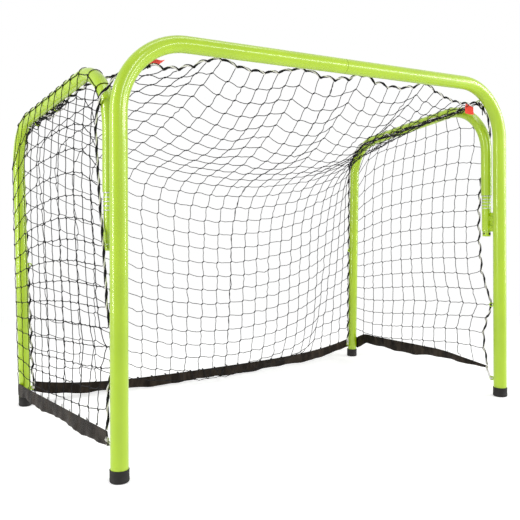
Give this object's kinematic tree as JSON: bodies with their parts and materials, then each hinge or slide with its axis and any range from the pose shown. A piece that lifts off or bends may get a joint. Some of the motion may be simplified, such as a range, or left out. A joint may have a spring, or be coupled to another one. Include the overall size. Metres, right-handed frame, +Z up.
{
  "type": "hockey goal net",
  "caption": "Folding street hockey goal: bent tube front frame, two hinged side frames on foot caps, and a square-mesh net with edge ropes and a woven black hem.",
  "frame": {"origin": "on the floor, midway between the posts and midway between the front and rear foot caps", "axes": "+X along the crossbar to the right as seen from the mouth, +Y from the mouth to the rear, +Z up"},
  "size_m": [1.293, 0.724, 0.9378],
  "materials": {
    "lime_paint": "glossy lime green powder coat",
    "black_plastic": "satin moulded black plastic",
    "bare_steel": "plain drawn steel",
    "black_twine": "knotted black twine",
    "black_webbing": "woven black webbing with a slight sheen",
    "edge_rope": "off-white cord whipped with black twine",
    "white_cord": "off-white braided cord",
    "red_fabric": "bright red woven label cloth"
  },
  "bodies": {
    "front": {"front_frame_left": "lime_paint", "front_frame_right": "lime_paint", "crossbar_sleeve": "bare_steel", "front_foot_cap_left": "black_plastic", "front_foot_cap_right": "black_plastic", "crossbar_hook_1": "lime_paint", "crossbar_hook_2": "lime_paint", "crossbar_hook_3": "lime_paint", "crossbar_hook_4": "lime_paint", "corner_eyelet_left": "lime_paint", "post_eyelet_upper_left": "lime_paint", "post_eyelet_lower_left": "lime_paint", "hinge_bracket_left": "lime_paint", "corner_tie_left": "edge_rope", "corner_tab_left": "red_fabric", "hem_tie_left": "white_cord", "corner_eyelet_right": "lime_paint", "post_eyelet_upper_right": "lime_paint", "post_eyelet_lower_right": "lime_paint", "hinge_bracket_right": "lime_paint", "corner_tie_right": "edge_rope", "corner_tab_right": "red_fabric", "hem_tie_right": "white_cord", "back_net": "black_twine", "back_hem": "black_webbing", "crossbar_rope": "edge_rope"},
    "left_wing": {"side_frame_left": "lime_paint", "rear_foot_cap_left": "black_plastic", "hinge_spigot_left": "bare_steel", "hinge_rivet_left": "black_plastic", "top_bar_eyelet_front_left": "lime_paint", "top_bar_eyelet_rear_left": "lime_paint", "leg_eyelet_upper_left": "lime_paint", "leg_eyelet_lower_left": "lime_paint", "side_net_left": "black_twine", "side_hem_left": "black_webbing", "side_rope_left": "edge_rope", "front_edge_rope_left": "edge_rope"},
    "right_wing": {"side_frame_right": "lime_paint", "rear_foot_cap_right": "black_plastic", "hinge_spigot_right": "bare_steel", "hinge_rivet_right": "black_plastic", "top_bar_eyelet_front_right": "lime_paint", "top_bar_eyelet_rear_right": "lime_paint", "leg_eyelet_upper_right": "lime_paint", "leg_eyelet_lower_right": "lime_paint", "side_net_right": "black_twine", "side_hem_right": "black_webbing", "side_rope_right": "edge_rope", "front_edge_rope_right": "edge_rope"}
  },
  "joints": [
    {"name": "left_wing_fold", "type": "hinge", "parent": "front", "child": "left_wing", "pos_m": [-0.6, -0.2933, 0.6], "axis": [0, 0, -1], "range_deg": [0, 86], "deforming": ["back_net", "back_hem", "corner_tie_left", "hem_tie_left", "front_edge_rope_left"]},
    {"name": "right_wing_fold", "type": "hinge", "parent": "front", "child": "right_wing", "pos_m": [0.6, -0.2933, 0.6], "axis": [0, 0, 1], "range_deg": [0, 80], "deforming": ["back_net", "back_hem", "corner_tie_right", "hem_tie_right", "front_edge_rope_right"]}
  ]
}
